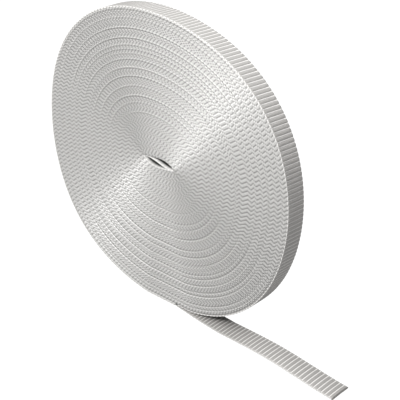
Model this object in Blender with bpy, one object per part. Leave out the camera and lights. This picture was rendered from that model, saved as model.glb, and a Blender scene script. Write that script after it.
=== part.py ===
"""A roll of woven roller shutter strap that stands on its rim.

The strap's outer end leaves the roll where it touches the floor and lies on the floor.
The origin is the middle of the flat spot under the roll. +Z is up, the roll's axis runs
along Y, the face with the better view of the eye looks towards -Y, and the loose end
runs towards +X. All sizes are in metres.
"""
import math

import bmesh
import bpy

# The strap as it is woven
STRAP_WIDTH = 0.020
STRAP_THICKNESS = 0.0012
RIB_PITCH = 0.00388
RIB_HEIGHT = 0.00035
GROOVE_SHARE = 0.36
PLAIN_EDGE = 0.0011
PLAIN_EDGE_DROP = 0.00015
EDGE_BLEND = 0.0004

# The wound form
ROLL_RADIUS = 0.137
FLAT_HALF = 0.018
FLAT_DEPTH = 0.0017
LAYER_GAP = 0.0003
RIM_RIBS = 212
RIBS_PER_EDGE_STEP = 2
FACE_STEPS = 54
BAND_SLOPE = 0.004

# The roll has sagged a little and is squarish. Lobes in the turn, share of the radius, and
# the angle of a lobe in degrees
OUTLINE_LOBES = (
    (1, 0.0135, 178.0),
    (2, 0.0282, -23.2),
    (3, 0.0036, 4.0),
    (4, 0.0146, 40.2),
    (5, 0.0016, 7.2),
)

# Groups of turns on the faces: outer limit as a share of the way out from the eye, and how
# far the group has slipped along the roll's axis, in millimetres
TURN_GROUPS = (
    (0.965, -0.30),
    (0.900, 0.22),
    (0.835, -0.18),
    (0.750, 0.30),
    (0.660, -0.12),
    (0.545, 0.20),
    (0.430, -0.22),
    (0.300, 0.15),
    (0.170, -0.10),
)

# The flattened eye in the middle, and the inner end that crosses it in a slight S
EYE_CENTRE = (-0.0012, 0.0033)
EYE_HALF_LENGTH = 0.0174
EYE_HALF_HEIGHT = 0.0043
EYE_SKEW = 0.35
EYE_TILT = math.radians(-7.7)
EYE_LIP = 0.030
CROSSING_THICKNESS = 0.0021
CROSSING_SWAY = 0.0026
CROSSING_DROP = 0.0003
SLOT_STEPS = 10
SLOT_END_MARGIN = 0.0008

# The loose end on the floor
LOOSE_END_X = 0.1970
LOOSE_YAW = math.radians(3.5)
LOOSE_SIDE_SLIP = -0.0045
LOOSE_SLIP_LENGTH = 0.056
LOOSE_CREST_X = 0.124
LOOSE_CREST_HEIGHT = 0.0033

SHARP_ANGLE = math.radians(20)

HALF_WIDTH = STRAP_WIDTH / 2
SEAM_RISE = STRAP_THICKNESS + LAYER_GAP


def lobe_factor(angle):
    """The outline's radius at this angle, as a share of the roll's radius."""
    factor = 1.0
    for count, share, phase in OUTLINE_LOBES:
        factor += share * math.cos(count * (angle - math.radians(phase)))
    return factor


AXIS_HEIGHT = ROLL_RADIUS * lobe_factor(-math.pi / 2) - FLAT_DEPTH
SEAM_ANGLE = math.atan2(-AXIS_HEIGHT, FLAT_HALF)
FLAT_END_ANGLE = math.atan2(-AXIS_HEIGHT, -FLAT_HALF) + 2 * math.pi


def outline_point(turn, drop):
    """A point of the roll's outline.

    turn runs from 0 at the seam, up the right side, over the top and down to 1 at the
    flat spot. One turn of the strap makes the radius grow by the strap's thickness.
    """
    angle = SEAM_ANGLE + turn * (FLAT_END_ANGLE - SEAM_ANGLE)
    radius = ROLL_RADIUS * lobe_factor(angle) - SEAM_RISE * (1 - turn) - drop
    height = AXIS_HEIGHT + radius * math.sin(angle)
    lowest = SEAM_RISE if turn < 0.5 else 0.0
    return radius * math.cos(angle), max(height, lowest)


def closed_outline(turns_and_drops):
    """The outline's points in order, closed under the roll by its flat spot and the seam."""
    points = [(FLAT_HALF, SEAM_RISE)]
    for turn, drop in turns_and_drops:
        points.append(outline_point(turn, drop))
    points.append((-FLAT_HALF, 0.0))
    points.append((FLAT_HALF, 0.0))
    return points


def edge_outline():
    """The plain edge beside the ribs, with one point for every few ribs."""
    steps = RIM_RIBS // RIBS_PER_EDGE_STEP
    return closed_outline((step / steps, PLAIN_EDGE_DROP) for step in range(1, steps))


def ribbed_outline():
    """Raised pads with a narrow groove between each two."""
    turns = []
    for rib in range(RIM_RIBS):
        if rib:
            turns.append((rib / RIM_RIBS, RIB_HEIGHT))
        turns.append(((rib + GROOVE_SHARE / 2) / RIM_RIBS, 0.0))
        turns.append(((rib + 1 - GROOVE_SHARE / 2) / RIM_RIBS, 0.0))
    return closed_outline(turns)


def loop_shares(points):
    """How far along the closed loop each point is, from 0 to 1."""
    lengths = [math.dist(points[i], points[(i + 1) % len(points)]) for i in range(len(points))]
    total = sum(lengths)
    shares = [0.0]
    for length in lengths:
        shares.append(shares[-1] + length / total)
    return shares


def stitch(mesh, first, second, first_shares, second_shares):
    """Fills the strip between two rows of vertices with triangles."""
    i = 0
    j = 0
    while i < len(first) - 1 or j < len(second) - 1:
        step_first = j == len(second) - 1
        if i < len(first) - 1 and j < len(second) - 1:
            step_first = first_shares[i + 1] <= second_shares[j + 1] + 1e-9
        if step_first:
            corners = (first[i], first[i + 1], second[j])
            i += 1
        else:
            corners = (first[i], second[j + 1], second[j])
            j += 1
        mesh.faces.new(corners)


def stitch_loops(mesh, first, second, first_shares, second_shares):
    """The same for two closed loops that start beside each other."""
    stitch(mesh, first + first[:1], second + second[:1], first_shares, second_shares)


def add_loop(mesh, points, y):
    """A row of vertices at one place along the roll's axis."""
    return [mesh.verts.new((x, y, z)) for x, z in points]


def eye_point(along, across):
    """A point given in the eye's own directions, along its length and across it."""
    x = EYE_CENTRE[0] + along * math.cos(EYE_TILT) - across * math.sin(EYE_TILT)
    z = AXIS_HEIGHT + EYE_CENTRE[1] + along * math.sin(EYE_TILT) + across * math.cos(EYE_TILT)
    return x, z


def turn_loop(way_out):
    """One turn on a face: lens shaped at the eye, and as round as the rim further out."""
    points = []
    for step in range(FACE_STEPS):
        angle = SEAM_ANGLE + 2 * math.pi * step / FACE_STEPS
        local = angle - EYE_TILT
        inner = eye_point(EYE_HALF_LENGTH * math.cos(local), EYE_HALF_HEIGHT * math.sin(local))
        radius = ROLL_RADIUS * lobe_factor(angle)
        outer = (radius * math.cos(angle), AXIS_HEIGHT + radius * math.sin(angle))
        points.append(tuple(a + (b - a) * way_out for a, b in zip(inner, outer)))
    return points


def slot_loop(side):
    """One of the two gaps in the eye, above or below the inner end that crosses it."""
    half = EYE_HALF_LENGTH - SLOT_END_MARGIN
    wall = []
    web = []
    for step in range(SLOT_STEPS + 1):
        place = 2 * step / SLOT_STEPS - 1
        bulge = 1 - place * place
        wall_across = side * EYE_HALF_HEIGHT * bulge * (1 + EYE_SKEW * side * place)
        crossing = -CROSSING_DROP - CROSSING_SWAY * place * bulge
        web_across = crossing + side * CROSSING_THICKNESS / 2
        if side * (wall_across - web_across) > LAYER_GAP:
            wall.append(eye_point(half * place, wall_across))
            web.append(eye_point(half * place, web_across))
    return wall + web[::-1]


def fill_eye(mesh, rim_of_eye, slots):
    """The flat middle of a face, between the innermost ring and the two gaps."""
    edges = []
    for loop in [rim_of_eye] + slots:
        for i, vertex in enumerate(loop):
            following = loop[(i + 1) % len(loop)]
            edge = mesh.edges.get((vertex, following))
            edges.append(edge or mesh.edges.new((vertex, following)))
    bmesh.ops.triangle_fill(mesh, use_beauty=True, use_dissolve=False, edges=edges)


def add_face(mesh, side, rim_loop, rim_shares):
    """One flat side of the roll, from the rim in to the eye."""
    outer = rim_loop
    outer_shares = rim_shares
    slip_before = 0.0
    for way_out, slip in TURN_GROUPS:
        for place, offset in ((way_out + BAND_SLOPE, slip_before), (way_out, slip)):
            points = turn_loop(place)
            ring = add_loop(mesh, points, side * HALF_WIDTH + offset / 1000)
            shares = loop_shares(points)
            stitch_loops(mesh, outer, ring, outer_shares, shares)
            outer = ring
            outer_shares = shares
        slip_before = slip
    points = turn_loop(EYE_LIP)
    lip_y = side * HALF_WIDTH + slip_before / 1000
    ring = add_loop(mesh, points, lip_y)
    stitch_loops(mesh, outer, ring, outer_shares, loop_shares(points))
    slots = [add_loop(mesh, slot_loop(place), lip_y) for place in (1, -1)]
    fill_eye(mesh, ring, slots)
    return slots


def make_roll():
    """The wound strap as one solid."""
    mesh = bmesh.new()
    edge_points = edge_outline()
    rib_points = ribbed_outline()
    edge_shares = loop_shares(edge_points)
    rib_shares = loop_shares(rib_points)
    inner_edge = HALF_WIDTH - PLAIN_EDGE
    rib_end = inner_edge - EDGE_BLEND
    rows = [
        (add_loop(mesh, edge_points, -HALF_WIDTH), edge_shares),
        (add_loop(mesh, edge_points, -inner_edge), edge_shares),
        (add_loop(mesh, rib_points, -rib_end), rib_shares),
        (add_loop(mesh, rib_points, rib_end), rib_shares),
        (add_loop(mesh, edge_points, inner_edge), edge_shares),
        (add_loop(mesh, edge_points, HALF_WIDTH), edge_shares),
    ]
    for (first, first_shares), (second, second_shares) in zip(rows, rows[1:]):
        stitch_loops(mesh, first, second, first_shares, second_shares)
    front_slots = add_face(mesh, -1, *rows[0])
    back_slots = add_face(mesh, 1, *rows[-1])
    for front, back in zip(front_slots, back_slots):
        shares = [i / len(front) for i in range(len(front) + 1)]
        stitch_loops(mesh, front, back, shares, shares)
    return mesh


def loose_height(x):
    """How far the loose end's underside is off the floor: flat, then one low crest."""
    start = FLAT_HALF * 2
    if x <= start:
        return 0.0
    if x <= LOOSE_CREST_X:
        share = (x - start) / (LOOSE_CREST_X - start)
    else:
        share = (LOOSE_END_X - x) / (LOOSE_END_X - LOOSE_CREST_X)
    share = max(share, 0.0)
    return LOOSE_CREST_HEIGHT * share * share * (3 - 2 * share)


def loose_point(distance, across, lift):
    """A point of the loose end, from its distance along the strap and its place across it."""
    x = FLAT_HALF + LAYER_GAP + distance
    slip = LOOSE_SIDE_SLIP * min(distance / LOOSE_SLIP_LENGTH, 1.0)
    y = slip + across - distance * math.tan(LOOSE_YAW)
    x_turned = x + across * math.sin(LOOSE_YAW) * min(distance / RIB_PITCH, 1.0)
    return x_turned, y, loose_height(x) + lift


def make_loose_end():
    """The strap's free end as one sheet."""
    mesh = bmesh.new()
    length = LOOSE_END_X - FLAT_HALF - LAYER_GAP
    ribs = round(length / RIB_PITCH)
    pitch = length / ribs
    inner_edge = HALF_WIDTH - PLAIN_EDGE
    rib_end = inner_edge - EDGE_BLEND
    plain_top = STRAP_THICKNESS - PLAIN_EDGE_DROP
    groove = STRAP_THICKNESS - RIB_HEIGHT
    coarse = [(rib * pitch, None) for rib in range(ribs + 1)]
    fine = [(0.0, groove)]
    for rib in range(ribs):
        fine.append(((rib + GROOVE_SHARE / 2) * pitch, STRAP_THICKNESS))
        fine.append(((rib + 1 - GROOVE_SHARE / 2) * pitch, STRAP_THICKNESS))
        fine.append(((rib + 1) * pitch, groove))
    section = (
        (-HALF_WIDTH, 0.0, coarse),
        (-HALF_WIDTH, plain_top, coarse),
        (-inner_edge, plain_top, coarse),
        (-rib_end, None, fine),
        (rib_end, None, fine),
        (inner_edge, plain_top, coarse),
        (HALF_WIDTH, plain_top, coarse),
        (HALF_WIDTH, 0.0, coarse),
    )
    rows = []
    for across, lift, stops in section:
        row = []
        for distance, own_lift in stops:
            height = own_lift if lift is None else lift
            row.append(mesh.verts.new(loose_point(distance, across, height)))
        rows.append((row, [distance / length for distance, _ in stops]))
    for (first, first_shares), (second, second_shares) in zip(rows, rows[1:] + rows[:1]):
        stitch(mesh, first, second, first_shares, second_shares)
    mesh.faces.new([row[0] for row, _ in rows])
    mesh.faces.new([row[-1] for row, _ in rows])
    return mesh


def strap_material(name, colour, roughness):
    """Woven polyester: pale, dull and not metallic."""
    material = bpy.data.materials.new(name)
    material.use_nodes = True
    shader = material.node_tree.nodes["Principled BSDF"]
    shader.inputs["Base Color"].default_value = (*colour, 1.0)
    shader.inputs["Roughness"].default_value = roughness
    shader.inputs["Metallic"].default_value = 0.0
    material.diffuse_color = (*colour, 1.0)
    return material


def add_object(name, mesh, material):
    """Turns a finished bmesh into a named object."""
    bmesh.ops.recalc_face_normals(mesh, faces=mesh.faces[:])
    data = bpy.data.meshes.new(name)
    mesh.to_mesh(data)
    mesh.free()
    data.shade_smooth()
    data.set_sharp_from_angle(angle=SHARP_ANGLE)
    data.materials.append(material)
    item = bpy.data.objects.new(name, data)
    bpy.context.scene.collection.objects.link(item)
    return item


def clear_scene():
    """Removes whatever objects the scene starts with."""
    for item in list(bpy.data.objects):
        bpy.data.objects.remove(item, do_unlink=True)


def build():
    clear_scene()
    add_object("wound_roll", make_roll(), strap_material("roll_weave", (0.60, 0.59, 0.57), 0.75))
    add_object("loose_end", make_loose_end(), strap_material("loose_weave", (0.56, 0.55, 0.53), 0.75))


build()
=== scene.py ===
import math

import bpy
import numpy as np
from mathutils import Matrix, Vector


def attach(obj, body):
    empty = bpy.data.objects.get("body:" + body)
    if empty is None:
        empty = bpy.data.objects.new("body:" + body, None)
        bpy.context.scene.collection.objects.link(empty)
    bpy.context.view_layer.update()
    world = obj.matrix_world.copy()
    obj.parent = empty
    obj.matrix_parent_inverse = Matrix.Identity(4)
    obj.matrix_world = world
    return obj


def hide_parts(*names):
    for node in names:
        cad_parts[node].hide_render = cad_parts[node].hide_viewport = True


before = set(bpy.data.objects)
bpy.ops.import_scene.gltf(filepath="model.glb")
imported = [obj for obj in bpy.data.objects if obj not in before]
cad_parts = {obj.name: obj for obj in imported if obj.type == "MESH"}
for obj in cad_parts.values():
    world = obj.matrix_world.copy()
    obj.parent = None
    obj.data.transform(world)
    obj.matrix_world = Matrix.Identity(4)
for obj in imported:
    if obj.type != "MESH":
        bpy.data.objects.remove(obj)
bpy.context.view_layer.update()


# The camera stands to the right of the roll's axis and above it, and looks down on the roll's
# front face, its rim and the loose end, as a product photographer would place it.
CAMERA_PLACE = Vector((0.5355, -0.5484, 0.4833))
CAMERA_TARGET = Vector((0.0454, -0.0100, 0.1154))
CAMERA_LENS_MM = 90.0
CAMERA_SENSOR_MM = 36.0

camera_data = bpy.data.cameras.new("camera")
camera_data.lens = CAMERA_LENS_MM
camera_data.sensor_width = CAMERA_SENSOR_MM
camera = bpy.data.objects.new("camera", camera_data)
camera.location = CAMERA_PLACE
camera.rotation_euler = (CAMERA_TARGET - CAMERA_PLACE).to_track_quat("-Z", "Y").to_euler()
bpy.context.scene.collection.objects.link(camera)
bpy.context.scene.camera = camera


# The wound turns. Just over a hundred turns of one woven strap lie on each other, and the two
# faces of the roll show the strap's edge: a small bead for each cross rib, where the weft turns
# round. Groups of turns have slipped along the axis, and rings part them: a step in the edge, with
# painted shade on the last turn inside each limit and a painted highlight on the turns outside it.
STRAP_WIDTH = 0.020
STRAP_THICKNESS = 0.0012
RIB_PITCH = 0.003705
ROLL_RADIUS = 0.137
FLAT_HALF = 0.018
FLAT_DEPTH = 0.0017
SEAM_RISE = 0.0015
OUTLINE_LOBES = (
    (1, 0.0135, 178.0),
    (2, 0.0282, -23.2),
    (3, 0.0036, 4.0),
    (4, 0.0146, 40.2),
    (5, 0.0016, 7.2),
)
EYE_CENTRE = (-0.0012, 0.0033)
EYE_HALF_LENGTH = 0.0174
EYE_HALF_HEIGHT = 0.0043
EYE_TILT = math.radians(-7.7)
EYE_SKEW = 0.60
EYE_PINCH = 0.06
EYE_POINTED = 0.6
WHOLE_TURNS = 105
LENGTH_STEPS_PER_TURN = 360

# Groups of turns: outer limit as a share of the way out from the eye, slip along the axis in
# mm, how clearly the painted shade and painted highlight at the limit show, and how many turns
# outside it get the painted highlight
TURN_GROUPS = (
    (0.290, 0.04, 0.4, 1),
    (0.360, -0.06, 0.6, 1),
    (0.405, 0.08, 0.7, 1),
    (0.468, -0.08, 0.8, 1),
    (0.537, 0.10, 0.8, 1),
    (0.588, -0.08, 0.7, 1),
    (0.648, 0.10, 0.8, 1),
    (0.685, -0.08, 0.5, 1),
    (0.710, 0.06, 0.5, 1),
    (0.740, -0.10, 0.7, 1),
    (0.785, 0.12, 0.9, 1),
    (0.830, -0.08, 0.6, 1),
    (0.855, 0.10, 0.9, 1),
    (0.920, -0.06, 0.5, 1),
    (0.950, 0.06, 0.5, 1),
    (0.978, -0.16, 0.9, 4),
)
OUTERMOST_SLIP_MM = 0.10
GROUP_BLEND = 0.0012
RING_PROUD = 0.00022
RING_RECESS = 0.00045
RING_TURN = math.radians(10)
RING_FROM = 0.45
RING_FULL = 0.75
RING_WANDER = 0.30
RING_WANDERS_PER_TURN = 7
RING_SEED = 40
TURN_SLIP = 0.00006
SLIP_WANDERS_PER_TURN = 1.37
SLIP_SEED = 11

# How the beads of neighbouring turns lie against each other. Each turn has two ribs more than
# the one inside it, so beads are in step at one share of a turn past the eye's tip and half a
# turn further on. There they zigzag from turn to turn, by a share of the rib pitch.
RIBS_MORE_EACH_TURN = 2
IN_STEP_AT = 0.0425
ZIGZAG_TURNS = 6.0
ZIGZAG_SIZE = 0.34
ZIGZAG_WANDER = 0.30
ZIGZAG_WANDER_TURNS = 8
ZIGZAG_SEED = 3
SLOW_WANDER = 0.10
SLOW_WANDER_TURNS = 7
SLOW_SEED = 5

# The beads, in shares of a rib pitch and of a turn's thickness, and their heights in metres
BEAD_STOPS = (0.0, 0.18, 0.50, 0.82)
BEAD_HEIGHT = 0.00014
BEAD_GAP = 0.00031
SHOULDER_AT_RIB = 0.16
SHOULDER_AT_GAP = 0.30
EDGE_GROOVE_DEPTH = 0.0007
EDGE_THREAD_RELIEF = 0.00005
FACE_PARTS = 2

# Colours of the wound edges. The colours between beads and between turns are painted shade in those
# gaps, and the pale and dark ring colours are a painted highlight and painted shade at the group
# limits.
BEAD_COLOUR = (0.585, 0.582, 0.575, 1)
BEAD_GAP_PAINTED_SHADE_COLOUR = (0.22, 0.218, 0.214, 1)
TURN_GROOVE_PAINTED_SHADE_COLOUR = (0.20, 0.198, 0.194, 1)
DULL_STRETCH_COLOUR = (0.40, 0.397, 0.39, 1)
PAINTED_RING_HIGHLIGHT_COLOUR = (0.84, 0.835, 0.82, 1)
PAINTED_RING_SHADE_COLOUR = (0.14, 0.137, 0.132, 1)

HALF_WIDTH = STRAP_WIDTH / 2


def lobe_factor(angle):
    """The outline's radius at this angle, as a share of the roll's radius."""
    factor = 1.0
    for count, share, phase in OUTLINE_LOBES:
        factor = factor + share * np.cos(count * (angle - math.radians(phase)))
    return factor


AXIS_HEIGHT = ROLL_RADIUS * float(lobe_factor(-math.pi / 2)) - FLAT_DEPTH
SEAM_ANGLE = math.atan2(-AXIS_HEIGHT, FLAT_HALF)
FLAT_END_ANGLE = math.atan2(-AXIS_HEIGHT, -FLAT_HALF) + 2 * math.pi
WAY_LENGTH = ROLL_RADIUS - EYE_HALF_HEIGHT
SEAM_SWEEP = SEAM_ANGLE - EYE_TILT + 2 * math.pi * WHOLE_TURNS
WAY_PER_RADIAN = (1 - SEAM_RISE / WAY_LENGTH) / (SEAM_SWEEP + 2 * math.pi)
WAY_PER_TURN = 2 * math.pi * WAY_PER_RADIAN


def eye_place(along, across):
    """A point given along the eye's length and across it."""
    x = EYE_CENTRE[0] + along * math.cos(EYE_TILT) - across * math.sin(EYE_TILT)
    z = AXIS_HEIGHT + EYE_CENTRE[1] + along * math.sin(EYE_TILT) + across * math.cos(EYE_TILT)
    return x, z


def turn_point(way_out, angle):
    """The point of a turn at this angle: lens shaped at the eye, round further out."""
    local = angle - EYE_TILT
    pinch = np.clip(1 - way_out / EYE_PINCH, 0, 1)
    side = np.sign(np.sin(local))
    skew = 1 + EYE_SKEW * side * np.cos(local) * pinch
    along = EYE_HALF_LENGTH * np.cos(local)
    across = EYE_HALF_HEIGHT * side * np.abs(np.sin(local)) ** (1 + EYE_POINTED * pinch) * skew
    eye_x, eye_z = eye_place(along, across)
    radius = ROLL_RADIUS * lobe_factor(angle)
    outer_z = np.maximum(AXIS_HEIGHT + radius * np.sin(angle), 0.0)
    return eye_x + (radius * np.cos(angle) - eye_x) * way_out, eye_z + (outer_z - eye_z) * way_out


def wandering(place, seed):
    """A smooth random curve between -1 and 1 through one value for each whole place."""
    values = np.random.default_rng(seed).uniform(-1, 1, int(np.max(place)) + 3)
    whole = np.floor(place).astype(int)
    share = place - whole
    share = share * share * (3 - 2 * share)
    return values[whole] * (1 - share) + values[whole + 1] * share


def within(way_out, low, high):
    """1 between two shares of the way out and 0 beyond them, with a short blend."""
    rising = np.clip((way_out - low) / GROUP_BLEND + 0.5, 0, 1)
    falling = np.clip((high - way_out) / GROUP_BLEND + 0.5, 0, 1)
    return rising * falling


def group_rings(way_out, angle):
    """-1 on the last turn inside a group's limit, 1 on the first turns outside it, else 0.

    The lines are clear above and below the eye and fade out on its left and right. The values
    set each turn's step along the axis and its painted shade (-1) or painted highlight (1).
    """
    total = np.zeros_like(way_out)
    turn = (angle / (2 * math.pi)) % 1.0
    clear = (np.abs(np.sin(angle - RING_TURN)) - RING_FROM) / (RING_FULL - RING_FROM)
    for seed, (limit, _, shows, lighter_turns) in enumerate(TURN_GROUPS):
        uneven = wandering(turn * RING_WANDERS_PER_TURN, RING_SEED + seed)
        strength = np.clip(clear, 0, 1) * shows + RING_WANDER * uneven
        strength = np.where(clear > 0, np.clip(strength, 0, 1), 0)
        outside = within(way_out, limit, limit + WAY_PER_TURN * lighter_turns)
        inside = within(way_out, limit - WAY_PER_TURN, limit)
        total = total + strength * (outside - inside)
    return total


def turn_slip(way_out, turns, rings):
    """How far a turn has moved along the roll's axis, towards the back face."""
    slips = [group[1] / 1000 for group in TURN_GROUPS] + [OUTERMOST_SLIP_MM / 1000]
    total = np.full_like(way_out, slips[0])
    for group, before, after in zip(TURN_GROUPS, slips, slips[1:]):
        share = np.clip((way_out - group[0]) / GROUP_BLEND + 0.5, 0, 1)
        total = total + (after - before) * share
    total = total + TURN_SLIP * wandering(turns * SLIP_WANDERS_PER_TURN, SLIP_SEED)
    return total - RING_PROUD * np.clip(rings, 0, 1) + RING_RECESS * np.clip(-rings, 0, 1)


def ribs_along_spiral():
    """For a fine row of angles along the whole winding: the angle and the ribs passed so far.

    The count from the strap's true length is eased so that it grows evenly from turn to turn.
    """
    steps = int((SEAM_SWEEP + 2 * math.pi) / (2 * math.pi) * LENGTH_STEPS_PER_TURN)
    sweep = np.linspace(0, SEAM_SWEEP + 2 * math.pi, steps)
    x, z = turn_point((sweep + math.pi) * WAY_PER_RADIAN, EYE_TILT + sweep)
    length = np.concatenate([[0], np.cumsum(np.hypot(np.diff(x), np.diff(z)))])
    turns = sweep / (2 * math.pi)
    uneven = wandering(turns / ZIGZAG_WANDER_TURNS, ZIGZAG_SEED)
    place = turns / ZIGZAG_TURNS + ZIGZAG_WANDER * uneven
    zigzag = 4 * np.abs(place % 1.0 - 0.5) - 1
    ribs = length / RIB_PITCH
    whole = np.arange(WHOLE_TURNS + 1)
    counted = np.interp(whole, turns, ribs)
    growth = whole**2 * RIBS_MORE_EACH_TURN / 2
    first_turn, start = np.polyfit(whole, counted - growth, 1)
    even_turn = round(first_turn) - RIBS_MORE_EACH_TURN * IN_STEP_AT
    in_step = growth + even_turn * whole + start
    ribs = ribs + np.interp(turns, whole, in_step - counted)
    slow = wandering(turns / SLOW_WANDER_TURNS, SLOW_SEED)
    return sweep, ribs + ZIGZAG_SIZE * zigzag + SLOW_WANDER * slow


def bead_shape(ribs):
    """1 in the middle of a bead and 0 between two, and how far the strap's edge stands out."""
    share = 0.5 - 0.5 * np.cos(2 * math.pi * ribs)
    return share, BEAD_HEIGHT * share - BEAD_GAP * (1 - share)


def grid_mesh(name, points, uv, flip=False, tube=False):
    """A smooth mesh over a grid of points, with one UV pair for each point.

    A tube joins the last column to the first one and has a face at each end.
    """
    rows, columns, _ = points.shape
    index = np.arange(rows * columns).reshape(rows, columns)
    ends = [index[0, ::-1].tolist(), index[-1].tolist()] if tube else []
    if tube:
        index = np.concatenate([index, index[:, :1]], 1)
    ring = [index[:-1, :-1], index[1:, :-1], index[1:, 1:], index[:-1, 1:]]
    faces = np.stack(ring, -1).reshape(-1, 4).tolist() + ends
    if flip:
        faces = [face[::-1] for face in faces]
    mesh = bpy.data.meshes.new(name)
    mesh.from_pydata(points.reshape(-1, 3).tolist(), [], faces)
    corners = [corner for face in faces for corner in face]
    layer = mesh.uv_layers.new(name="strap")
    layer.data.foreach_set("uv", uv.reshape(-1, 2)[corners].ravel())
    mesh.shade_smooth()
    return mesh


def add_piece(name, mesh, material):
    """A finished piece on the roll's only body, with the strap's finish."""
    mesh.materials.append(material)
    piece = bpy.data.objects.new(name, mesh)
    bpy.context.scene.collection.objects.link(piece)
    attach(piece, "root")
    return piece


class Wire:
    """One socket of a material. Sums and products of wires add Math nodes."""

    def __init__(self, nodes, socket=None):
        self.nodes = nodes
        self.socket = socket

    def node(self, kind, settings, sockets, out=0):
        """Adds a node: its settings first, then a value or a wire for each socket."""
        made = self.nodes.new(kind)
        for name, value in settings.items():
            setattr(made, name, value)
        for key, value in sockets.items():
            if isinstance(value, Wire):
                self.nodes.id_data.links.new(value.socket, made.inputs[key])
            else:
                made.inputs[key].default_value = value
        return Wire(self.nodes, made.outputs[out])

    def math(self, operation, first, second=0.0):
        return self.node("ShaderNodeMath", {"operation": operation}, {0: first, 1: second})

    def __add__(self, other):
        return self.math("ADD", self, other)

    def __sub__(self, other):
        return self.math("SUBTRACT", self, other)

    def __rsub__(self, other):
        return self.math("SUBTRACT", other, self)

    def __mul__(self, other):
        return self.math("MULTIPLY", self, other)

    def __abs__(self):
        return self.math("ABSOLUTE", self)

    __radd__ = __add__
    __rmul__ = __mul__

    def ramp(self, low, high):
        """0 below low and 1 above high, with a smooth step between."""
        settings = {"interpolation_type": "SMOOTHSTEP"}
        return self.node("ShaderNodeMapRange", settings, {0: self, 1: low, 2: high})

    def wave(self, period):
        """A sine of this period."""
        return self.math("SINE", self * (2 * math.pi / period))

    def blend(self, first, second):
        """A colour between two, by this wire as the factor."""
        settings = {"data_type": "RGBA", "clamp_factor": True}
        return self.node("ShaderNodeMix", settings, {0: self, 6: first, 7: second}, out=2)


def start_material(name, roughness):
    """A dull cloth material: its shader, and the strap's two directions as wires.

    The first counts ribs along the strap. The second is a share of the turn's thickness on the
    wound edges, and millimetres from the middle of the strap's width on the other pieces.
    """
    material = bpy.data.materials.new(name)
    material.use_nodes = True
    nodes = material.node_tree.nodes
    shader = nodes["Principled BSDF"]
    shader.inputs["Roughness"].default_value = roughness
    shader.inputs["Specular IOR Level"].default_value = 0.35
    shader.inputs["Sheen Weight"].default_value = 0.12
    shader.inputs["Sheen Roughness"].default_value = 0.5
    place = Wire(nodes).node("ShaderNodeUVMap", {"uv_map": "strap"}, {})
    along = place.node("ShaderNodeSeparateXYZ", {}, {0: place})
    across = Wire(nodes, along.socket.node.outputs[1])
    return material, shader, along, across


def away_from_whole(along):
    """How far a place is from the nearest whole number of ribs, in rib pitches."""
    return abs(along.math("FRACT", along + 0.5) - 0.5)


def noise(wire, scale, detail=2.0):
    """Cloudy noise between 0 and 1 over the object's own coordinates."""
    place = wire.node("ShaderNodeTexCoord", {}, {}, out=3)
    return wire.node("ShaderNodeTexNoise", {}, {"Vector": place, "Scale": scale, "Detail": detail})


def finish_material(material, shader, colour, height, distance):
    """Joins the colour and the fine relief to the shader."""
    sockets = {"Height": height, "Distance": distance, "Strength": 1.0}
    bump = colour.node("ShaderNodeBump", {}, sockets)
    links = material.node_tree.links
    links.new(colour.socket, shader.inputs["Base Color"])
    links.new(bump.socket, shader.inputs["Normal"])
    return material


def wound_edge_material():
    """The woven edge: off-white beads, with painted shade between two beads and down between two
    turns, and a painted highlight and painted shade at the group rings.
    """
    material, shader, along, across = start_material("wound_edges", 0.35)
    shader.inputs["Specular IOR Level"].default_value = 1.0
    shader.inputs["Coat Weight"].default_value = 0.85
    shader.inputs["Coat Roughness"].default_value = 0.33
    bead = away_from_whole(along).ramp(0.05, 0.26)
    # Painted shade between two beads.
    colour = bead.blend(BEAD_GAP_PAINTED_SHADE_COLOUR, BEAD_COLOUR)
    # Painted shade down between two turns.
    painted_groove_shade = abs(across - 0.5).ramp(0.24, 0.49)
    colour = (painted_groove_shade * 0.35).blend(colour, TURN_GROOVE_PAINTED_SHADE_COLOUR)
    stretch = along.node("ShaderNodeCombineXYZ", {}, {0: along * 0.06})
    dull = along.node("ShaderNodeTexNoise", {}, {"Vector": stretch, "Scale": 1.0, "Detail": 1.0})
    colour = (dull.ramp(0.35, 0.75) * 0.24).blend(colour, DULL_STRETCH_COLOUR)
    # Painted highlight on the turns outside a group's limit and painted shade on the turn inside
    # it.
    ring = along.node("ShaderNodeAttribute", {"attribute_name": "ring_painted_light_and_shade"}, {}, out=2)
    colour = (ring.ramp(0.0, 1.0) * 0.38).blend(colour, PAINTED_RING_HIGHLIGHT_COLOUR)
    colour = ((ring * -1.0).ramp(0.0, 1.0) * 0.48).blend(colour, PAINTED_RING_SHADE_COLOUR)
    threads = (across * 6.0 + along * 2.0).wave(1.0) * 0.5 + noise(along, 2200.0) * 0.5
    return finish_material(material, shader, colour, threads, EDGE_THREAD_RELIEF)


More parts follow.
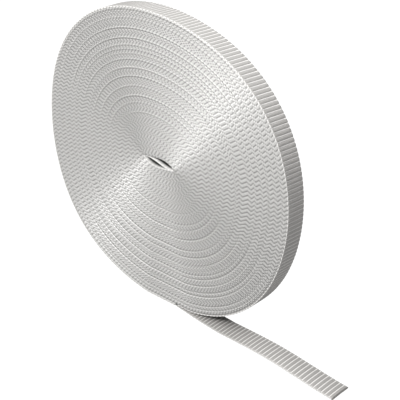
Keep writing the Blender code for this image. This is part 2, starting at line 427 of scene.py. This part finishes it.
def wound_edges():
    """Both faces of the roll, each in a few parts."""
    sweep_row, ribs_row = ribs_along_spiral()
    last_rib = math.floor(np.interp(SEAM_SWEEP, sweep_row, ribs_row))
    material = wound_edge_material()
    stops = np.array(BEAD_STOPS)
    limits = [round(last_rib * part / FACE_PARTS) for part in range(FACE_PARTS + 1)]
    pieces = []
    for first, last in zip(limits, limits[1:]):
        ribs = (np.arange(first, last)[:, None] + stops[None, :]).ravel()
        ribs = np.append(ribs, last)
        sweep = np.interp(ribs, ribs_row, sweep_row)
        inner_way = sweep * WAY_PER_RADIAN
        middle_way = inner_way + WAY_PER_TURN / 2
        bead, proud = bead_shape(ribs)
        shoulder = SHOULDER_AT_GAP + (SHOULDER_AT_RIB - SHOULDER_AT_GAP) * bead
        rings = group_rings(middle_way, EYE_TILT + sweep)
        slip = turn_slip(middle_way, sweep / (2 * math.pi), rings)
        for side, label in ((-1, "front"), (1, "back")):
            rows = []
            rows_uv = []
            for share, raised in ((0.0, 0), (shoulder, 1), (1 - shoulder, 1), (1.0, 0)):
                x, z = turn_point(inner_way + WAY_PER_TURN * share, EYE_TILT + sweep)
                top = side * (HALF_WIDTH + proud) + slip
                deep = np.full_like(x, side * (HALF_WIDTH - EDGE_GROOVE_DEPTH))
                rows.append(np.stack([x, top if raised else deep, z], -1))
                rows_uv.append(np.stack([ribs, np.broadcast_to(share, ribs.shape)], -1))
            points = np.stack(rows, 1)
            uv = np.stack(rows_uv, 1)
            name = f"{label}_edges_{len(pieces) // 2 + 1}"
            mesh = grid_mesh(name, points, uv, flip=side < 0)
            # The rings' painted highlight and painted shade, read by the material.
            ring_painted_light_and_shade = mesh.attributes.new("ring_painted_light_and_shade", "FLOAT", "POINT")
            painted_ring_light_values = np.repeat(rings, points.shape[1]).astype(np.float32)
            ring_painted_light_and_shade.data.foreach_set("value", painted_ring_light_values)
            pieces.append(add_piece(name, mesh, material))
    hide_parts("wound_roll")


wound_edges()


# The outer turn. One more turn of the same strap closes the roll: on its outer side the woven
# cross ribs show, grey pads with a white line in the groove between each two, and a plain
# border along both edges. It ends under the roll, in the flat spot that the roll stands on.
RIB_HEIGHT = 0.00035
RIM_RIBS = 212
FLAT_RIBS = 9
RIB_SKEW = 0.060
SKEW_FROM_RIBS = 4
OUTER_PROUD = 0.00040
LOWER_EDGE_DEPTH = 0.0005
THREAD_RELIEF = 0.00006

PAD_TINT = (1.0, 0.975, 0.945)
LINE_TINT = (1.0, 0.985, 0.965)
# Colours of the weave's marks. The crease, thread gap and edge gap colours are painted shade; the
# edge bead colour is partly the woven edge's own paleness and partly a painted highlight.
CREASE_PAINTED_SHADE_COLOUR = (0.22, 0.215, 0.21, 1)
THREAD_GAP_PAINTED_SHADE_COLOUR = (0.30, 0.295, 0.285, 1)
EDGE_GAP_PAINTED_SHADE_COLOUR = (0.45, 0.446, 0.438, 1)
EDGE_BEAD_PALE_AND_HIGHLIGHT_COLOUR = (0.78, 0.775, 0.765, 1)
CLOUD_COLOUR = (0.40, 0.39, 0.375, 1)

# One rib pitch: place from the groove's middle as a share of the pitch, share of the rib's depth
RIB_SECTION = (
    (0.00, 0.55),
    (0.08, 0.70),
    (0.14, 1.00),
    (0.20, 0.35),
    (0.28, 0.06),
    (0.50, 0.00),
    (0.72, 0.06),
    (0.80, 0.35),
    (0.86, 1.00),
    (0.92, 0.70),
)

# The strap's cross-section from an edge inwards: way in from the edge, depth below the top, and
# whether the ribs show there
EDGE_SECTION = (
    (0.00060, 0.00120, 0.0),
    (0.00008, 0.00090, 0.0),
    (0.00000, 0.00060, 0.0),
    (0.00010, 0.00034, 0.0),
    (0.00035, 0.00017, 0.0),
    (0.00110, 0.00015, 0.0),
    (0.00150, 0.00000, 1.0),
    (0.00400, 0.00000, 1.0),
    (0.00700, 0.00000, 1.0),
)


def strap_section():
    """The whole width of the strap: place across, depth, and share of the ribs' relief."""
    near = [(-HALF_WIDTH + way_in, depth, ribbed) for way_in, depth, ribbed in EDGE_SECTION]
    far = [(-across, depth, ribbed) for across, depth, ribbed in near[::-1]]
    return near + [(0.0, 0.0, 1.0)] + far


def rib_rows(count):
    """Rows along the strap: how many ribs have passed, and the rib's depth there."""
    ribs = [rib + place for rib in range(count) for place, _ in RIB_SECTION] + [float(count)]
    depth = [share for _ in range(count) for _, share in RIB_SECTION] + [RIB_SECTION[0][1]]
    return np.array(ribs), np.array(depth) * RIB_HEIGHT


def outline_point(turn):
    """The rim's outer surface, from the seam at 0 round to the flat spot at 1."""
    angle = SEAM_ANGLE + turn * (FLAT_END_ANGLE - SEAM_ANGLE)
    radius = ROLL_RADIUS * lobe_factor(angle) - SEAM_RISE * (1 - turn)
    height = AXIS_HEIGHT + radius * np.sin(angle)
    return radius * np.cos(angle), np.maximum(height, np.where(turn < 0.5, SEAM_RISE, 0.0))


def outer_turn_walls(ribs):
    """The outer and the inner surface of the outer turn where so many ribs have passed."""
    turn = np.clip(ribs / RIM_RIBS, 0, 1)
    along_flat = np.clip((ribs - RIM_RIBS) / FLAT_RIBS, 0, 1)
    outer_x, outer_z = outline_point(turn)
    outer_x = outer_x + along_flat * 2 * FLAT_HALF
    angle = np.arctan2(outer_z - AXIS_HEIGHT, outer_x)
    inner_way = 1 - SEAM_RISE / WAY_LENGTH - WAY_PER_TURN * (1 - turn)
    inner_x, inner_z = turn_point(inner_way, angle)
    return np.stack([outer_x, outer_z], -1), np.stack([inner_x, inner_z], -1)


def weave(along, across, pad, white):
    """Grey pads, white lines in the grooves, a paler woven edge and fine threads along the strap.
    Painted shade lies in the crease at each pad's edge, between the threads and between the edge
    beads, and the edge beads' paleness is partly a painted highlight.

    Gives the colour, the share of white line, and the relief of the threads.
    """
    from_line = away_from_whole(along)
    line = 1.0 - from_line.ramp(0.10, 0.15)
    # Painted shade in the crease at each pad's edge.
    painted_crease_shade = from_line.ramp(0.09, 0.15) * (1.0 - from_line.ramp(0.16, 0.26))
    pad_colour = [pad * tint for tint in PAD_TINT] + [1]
    line_colour = [white * tint for tint in LINE_TINT] + [1]
    colour = line.blend(pad_colour, line_colour)
    colour = (painted_crease_shade * 0.50).blend(colour, CREASE_PAINTED_SHADE_COLOUR)
    threads = abs(across.wave(0.9))
    # Painted shade between the threads.
    colour = ((1.0 - threads.ramp(0.0, 0.45)) * 0.22).blend(colour, THREAD_GAP_PAINTED_SHADE_COLOUR)
    # On the woven edge: painted shade between the edge beads, and paler beads, partly their own
    # paleness and partly a painted highlight.
    edge_bead_paleness_and_painted_light = from_line.ramp(0.05, 0.26).blend(EDGE_GAP_PAINTED_SHADE_COLOUR, EDGE_BEAD_PALE_AND_HIGHLIGHT_COLOUR)
    colour = abs(across).ramp(9.45, 9.80).blend(colour, edge_bead_paleness_and_painted_light)
    cloud = noise(along, 90.0, 3.0)
    colour = (cloud.ramp(0.35, 0.75) * 0.10).blend(colour, CLOUD_COLOUR)
    twist = (across * 2.4 + along * 9.0).wave(1.0) * 0.25
    return colour, line, threads + twist


def strap_weave_material():
    """The weave as the outer turn shows it, with a slight sheen."""
    material, shader, along, across = start_material("strap_weave", 0.50)
    colour, _, relief = weave(along, across, 0.48, 0.88)
    return finish_material(material, shader, colour, relief, THREAD_RELIEF)


def outer_turn():
    """The outermost turn, from the seam over the top and down to the flat spot."""
    ribs, relief = rib_rows(RIM_RIBS + FLAT_RIBS)
    rows = []
    rows_uv = []
    _, proud = bead_shape(ribs)
    for across, depth, ribbed in strap_section():
        shift = -RIB_SKEW * across / RIB_PITCH
        outer, inner = outer_turn_walls(ribs + shift * np.clip(ribs / SKEW_FROM_RIBS, 0, 1))
        total = depth + relief * ribbed
        gap = np.linalg.norm(inner - outer, axis=1)
        if depth > LOWER_EDGE_DEPTH:
            total = total * gap / STRAP_THICKNESS
        share = total / np.maximum(gap, 1e-6)
        place = outer + (inner - outer) * np.minimum(share, 1.0)[:, None]
        wave = 0.0 if ribbed else proud * np.sign(across)
        upward = np.clip((place[:, 1] - AXIS_HEIGHT) / ROLL_RADIUS, 0, 1) ** 2
        y = across + wave - OUTER_PROUD * upward
        rows.append(np.stack([place[:, 0], y, place[:, 1]], -1))
        rows_uv.append(np.stack([ribs, np.full_like(ribs, across * 1000)], -1))
    mesh = grid_mesh("outer_turn", np.stack(rows, 1), np.stack(rows_uv, 1), flip=True)
    add_piece("outer_turn", mesh, strap_weave_material())


outer_turn()


# The eye. The strap was first wound flat, so the innermost turn stays open as a narrow lens, and
# the folded inner end stands on edge in it. It crosses from tip to tip in a slight S, with a
# dark gap above it and one below it.
CROSSING_THICKNESS = 0.0009
CROSSING_SWAY = 0.0026
CROSSING_DROP = 0.0003
CROSSING_SHORTER = 0.0004
CROSSING_TAPER = 6
CROSSING_TIP = 0.35
CROSSING_ROUNDING = 0.0003
CROSSING_STEPS = 36
EYE_WALL_STEPS = 96
EYE_DEPTH_STEPS = 12
LIP_TURN = 0.25
END_RECESS = 0.0004

INNER_PAD_COLOUR = (0.66, 0.655, 0.645, 1)
INNER_LINE_COLOUR = (0.80, 0.795, 0.785, 1)
DEEP_SHADE_COLOUR = (0.018, 0.018, 0.017, 1)


def inner_weave_material():
    """The same weave in deep shade: it darkens away from both faces."""
    material, shader, along, across = start_material("inner_weave", 0.80)
    line = 1.0 - away_from_whole(along).ramp(0.12, 0.18)
    colour = line.blend(INNER_PAD_COLOUR, INNER_LINE_COLOUR)
    lit = abs(across).ramp(5.6, 9.0)
    colour = lit.blend(DEEP_SHADE_COLOUR, colour)
    threads = abs(across.wave(0.9))
    return finish_material(material, shader, colour, threads, THREAD_RELIEF)


def eye_wall(material):
    """The inner side of the innermost turn, all round the eye, and its rounded edges."""
    angle = np.linspace(0, 2 * math.pi, EYE_WALL_STEPS + 1) + EYE_TILT
    x, z = turn_point(np.zeros_like(angle), angle)
    length = np.concatenate([[0], np.cumsum(np.hypot(np.diff(x), np.diff(z)))])
    depths = np.linspace(-1, 1, EYE_DEPTH_STEPS + 1) * (HALF_WIDTH - EDGE_GROOVE_DEPTH)
    lip = [(LIP_TURN, HALF_WIDTH + BEAD_HEIGHT), (LIP_TURN / 3, HALF_WIDTH)]
    section = [(out, -y) for out, y in lip] + [(0.0, y) for y in depths] + lip[::-1]
    rows = []
    rows_uv = []
    for out, y in section:
        x, z = turn_point(np.full_like(angle, out * WAY_PER_TURN), angle)
        rows.append(np.stack([x, np.full_like(x, y), z], -1))
        rows_uv.append(np.stack([length / RIB_PITCH, np.full_like(x, y * 1000)], -1))
    points = np.stack(rows, 1)
    uv = np.stack(rows_uv, 1)
    mesh = grid_mesh("eye_wall", points, uv, flip=True)
    add_piece("eye_wall", mesh, material)


def inner_end(material):
    """The strap's inner end on its edge, from one tip of the eye to the other."""
    share = np.linspace(0, 1, CROSSING_STEPS + 1)
    half = EYE_HALF_LENGTH - CROSSING_SHORTER
    along = half * (2 * share - 1)
    bulge = 1 - (2 * share - 1) ** 2
    across = -CROSSING_DROP - CROSSING_SWAY * (2 * share - 1) * bulge
    thick = CROSSING_THICKNESS / 2 * np.clip(bulge * CROSSING_TAPER, CROSSING_TIP, 1)
    reach = HALF_WIDTH - END_RECESS
    corner = reach - CROSSING_ROUNDING
    ring = (
        (-1.00, -corner),
        (-0.55, -reach),
        (0.55, -reach),
        (1.00, -corner),
        (1.00, 0.0),
        (1.00, corner),
        (0.55, reach),
        (-0.55, reach),
        (-1.00, corner),
        (-1.00, 0.0),
    )
    rows = []
    rows_uv = []
    for side, y in ring:
        x, z = eye_place(along, across + side * thick)
        width_mm = np.full_like(x, y * 1000 * HALF_WIDTH / reach)
        rows.append(np.stack([x, np.full_like(x, y), z], -1))
        rows_uv.append(np.stack([along / RIB_PITCH, width_mm], -1))
    mesh = grid_mesh("inner_end", np.stack(rows, 1), np.stack(rows_uv, 1), tube=True)
    add_piece("inner_end", mesh, material)


INNER_WEAVE = inner_weave_material()
eye_wall(INNER_WEAVE)
inner_end(INNER_WEAVE)


# The loose end. The outer end of the same strap leaves the roll on the floor and lies there with
# one low crest, its far edge a little raised and its middle slightly arched. It is cut square
# with a hot blade, so its last threads are melted together and darker.
LOOSE_END_X = 0.1970
LOOSE_YAW = math.radians(3.5)
LOOSE_SIDE_SLIP = -0.0045
LOOSE_SLIP_LENGTH = 0.056
LOOSE_CREST_X = 0.124
LOOSE_CREST_HEIGHT = 0.0033
LAYER_GAP = 0.0003
LOOSE_RIBS = 46
LOOSE_BANK = 0.0014
LOOSE_BANK_LENGTH = 0.050
LOOSE_ARCH = 0.0004
LOOSE_ARCH_LENGTH = 0.030

PALE_BORDER_AND_PAINTED_LIGHT_COLOUR = (0.74, 0.73, 0.715, 1)
MELTED_COLOUR = (0.13, 0.125, 0.12, 1)
SHADE_COLOUR = (0.10, 0.097, 0.093, 1)
SHADE_REACH = 0.08


def loose_height(x):
    """How far the loose end's underside is off the floor."""
    start = FLAT_HALF * 2
    rising = (x - start) / (LOOSE_CREST_X - start)
    falling = (LOOSE_END_X - x) / (LOOSE_END_X - LOOSE_CREST_X)
    share = np.clip(np.minimum(rising, falling), 0, 1)
    return LOOSE_CREST_HEIGHT * share * share * (3 - 2 * share)


def loose_weave_material():
    """The weave with paler borders, partly the woven edge's own paleness and partly painted light,
    painted shade from the roll and darker towards the far edge, and the melted last threads.
    """
    material, shader, along, across = start_material("loose_weave", 0.70)
    # Darker pads than on the outer turn of the same strap: painted shade on the loose end.
    colour, line, relief = weave(along, across, 0.37, 0.86)
    # Paler towards both borders: partly the woven edge's own paleness, partly painted light.
    colour = (abs(across).ramp(7.0, 9.3) * 0.24).blend(colour, PALE_BORDER_AND_PAINTED_LIGHT_COLOUR)
    # Painted shade, darker towards the far edge.
    colour = (across.ramp(-8.0, 8.0) * 0.16).blend(colour, SHADE_COLOUR)
    melted = along.ramp(LOOSE_RIBS - 0.32, LOOSE_RIBS - 0.20)
    colour = (melted * 0.85).blend(colour, MELTED_COLOUR)
    # Painted shade where the roll hides the sky, taken from ambient occlusion into the colour.
    sockets = {"Distance": SHADE_REACH}
    open_sky = along.node("ShaderNodeAmbientOcclusion", {"samples": 8}, sockets, out=1)
    shade = 1.0 - open_sky.ramp(0.15, 0.95)
    colour = (shade * (0.70 - line * 0.36)).blend(colour, SHADE_COLOUR)
    # Painted shade near the roll, on the far side of the strap.
    painted_shade_under_roll = (1.0 - along.ramp(4.0, 24.0)) * across.ramp(-5.0, 9.0)
    colour = (painted_shade_under_roll * (0.76 - line * 0.28)).blend(colour, SHADE_COLOUR)
    return finish_material(material, shader, colour, relief, THREAD_RELIEF)


def loose_end():
    """The free end as one closed sheet, ribbed on both sides."""
    length = LOOSE_END_X - FLAT_HALF - LAYER_GAP
    ribs, relief = rib_rows(LOOSE_RIBS)
    distance = ribs / LOOSE_RIBS * length
    section = strap_section()
    ring = []
    for across, depth, ribbed in section[2:-2]:
        ring.append((across, STRAP_THICKNESS - depth, ribbed, -1))
    for across, depth, ribbed in section[-3:1:-1]:
        if ribbed:
            ring.append((across, depth, ribbed, 1))
    x = FLAT_HALF + LAYER_GAP + distance
    slip = LOOSE_SIDE_SLIP * np.minimum(distance / LOOSE_SLIP_LENGTH, 1.0)
    base = loose_height(x)
    rows = []
    rows_uv = []
    for across, lift, ribbed, inward in ring:
        turned = x + across * math.sin(LOOSE_YAW) * np.minimum(distance / RIB_PITCH, 1.0)
        y = slip + across - distance * math.tan(LOOSE_YAW)
        up_by = relief * ribbed * inward * (1.0 if inward < 0 else 0.5)
        bank = LOOSE_BANK * (across / STRAP_WIDTH + 0.5)
        bank = bank * np.minimum(distance / LOOSE_BANK_LENGTH, 1.0)
        arch = LOOSE_ARCH * (1 - (across / HALF_WIDTH) ** 2)
        arch = arch * np.minimum(distance / LOOSE_ARCH_LENGTH, 1.0)
        rows.append(np.stack([turned, y, base + bank + arch + lift + up_by], -1))
        rows_uv.append(np.stack([ribs, np.full_like(ribs, across * 1000)], -1))
    points = np.stack(rows, 1)
    mesh = grid_mesh("loose_end_strap", points, np.stack(rows_uv, 1), flip=True, tube=True)
    piece = add_piece("loose_end_strap", mesh, loose_weave_material())
    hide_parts("loose_end")


loose_end()


# The floor and the light. A white paper floor, a large soft lamp high in front of the roll, a
# weaker one high behind it on the right, and a weak even light from all round, as in a small
# photo studio.
FLOOR_RADIUS = 6.0
FLOOR_SIDES = 96
FLOOR_DROP = 0.00005
FLOOR_COLOUR = (0.20, 0.20, 0.20, 1)
FLOOR_LIGHT_COLOUR = (0.45, 0.45, 0.45, 1)
BLACK = (0, 0, 0, 1)
WHITE = (1, 1, 1, 1)
KEY_PLACE = Vector((0.07, -0.66, 0.70))
LAMP_TARGET = Vector((0.02, 0.0, 0.13))
KEY_SIZE = 0.35
KEY_POWER = 9.0
KEY_COLOUR = (1.0, 0.99, 0.975)
TOP_PLACE = Vector((0.20, 0.40, 0.70))
TOP_SIZE = 0.45
TOP_POWER = 1.6
TOP_COLOUR = (0.98, 0.99, 1.0)
ROOM_LIGHT = 0.375


def seen_directly(wire):
    """1 where the camera sees the surface itself, 0 for the light that it sends on."""
    return wire.node("ShaderNodeLightPath", {}, {})


def floor_material():
    """White by its own glow where the camera sees it, and grey in the light that it sends on."""
    material = bpy.data.materials.new("floor_paper")
    material.use_nodes = True
    nodes = material.node_tree.nodes
    shader = nodes["Principled BSDF"]
    shader.inputs["Roughness"].default_value = 0.9
    shader.inputs["Specular IOR Level"].default_value = 0.1
    shader.inputs["Emission Strength"].default_value = 1.0
    seen = seen_directly(Wire(nodes))
    colour = seen.blend(FLOOR_LIGHT_COLOUR, FLOOR_COLOUR)
    glow = seen.blend(BLACK, WHITE)
    material.node_tree.links.new(colour.socket, shader.inputs["Base Color"])
    material.node_tree.links.new(glow.socket, shader.inputs["Emission Color"])
    return material


def add_floor():
    """A flat round of paper just below the roll."""
    mesh = bpy.data.meshes.new("floor")
    turns = [2 * math.pi * side / FLOOR_SIDES for side in range(FLOOR_SIDES)]
    points = [(FLOOR_RADIUS * math.cos(turn), FLOOR_RADIUS * math.sin(turn), 0.0) for turn in turns]
    mesh.from_pydata(points, [], [tuple(range(FLOOR_SIDES))])
    mesh.materials.append(floor_material())
    floor = bpy.data.objects.new("floor", mesh)
    floor.location.z = -FLOOR_DROP
    bpy.context.scene.collection.objects.link(floor)


def add_lamp(name, place, size, power, colour):
    """A round soft lamp that points at the roll's face."""
    data = bpy.data.lights.new(name, "AREA")
    data.shape = "DISK"
    data.size = size
    data.energy = power
    data.color = colour
    lamp = bpy.data.objects.new(name, data)
    lamp.location = place
    lamp.rotation_euler = (LAMP_TARGET - place).to_track_quat("-Z", "Y").to_euler()
    bpy.context.scene.collection.objects.link(lamp)


def light_room():
    """An even light from all round that looks white where the camera sees it."""
    world = bpy.data.worlds.new("studio")
    bpy.context.scene.world = world
    world.use_nodes = True
    nodes = world.node_tree.nodes
    seen = seen_directly(Wire(nodes))
    strength = seen * (1.0 - ROOM_LIGHT) + ROOM_LIGHT
    nodes["Background"].inputs["Color"].default_value = WHITE
    world.node_tree.links.new(strength.socket, nodes["Background"].inputs["Strength"])
    bpy.context.scene.view_settings.view_transform = "Standard"


add_floor()
add_lamp("key_lamp", KEY_PLACE, KEY_SIZE, KEY_POWER, KEY_COLOUR)
add_lamp("top_lamp", TOP_PLACE, TOP_SIZE, TOP_POWER, TOP_COLOUR)
light_room()
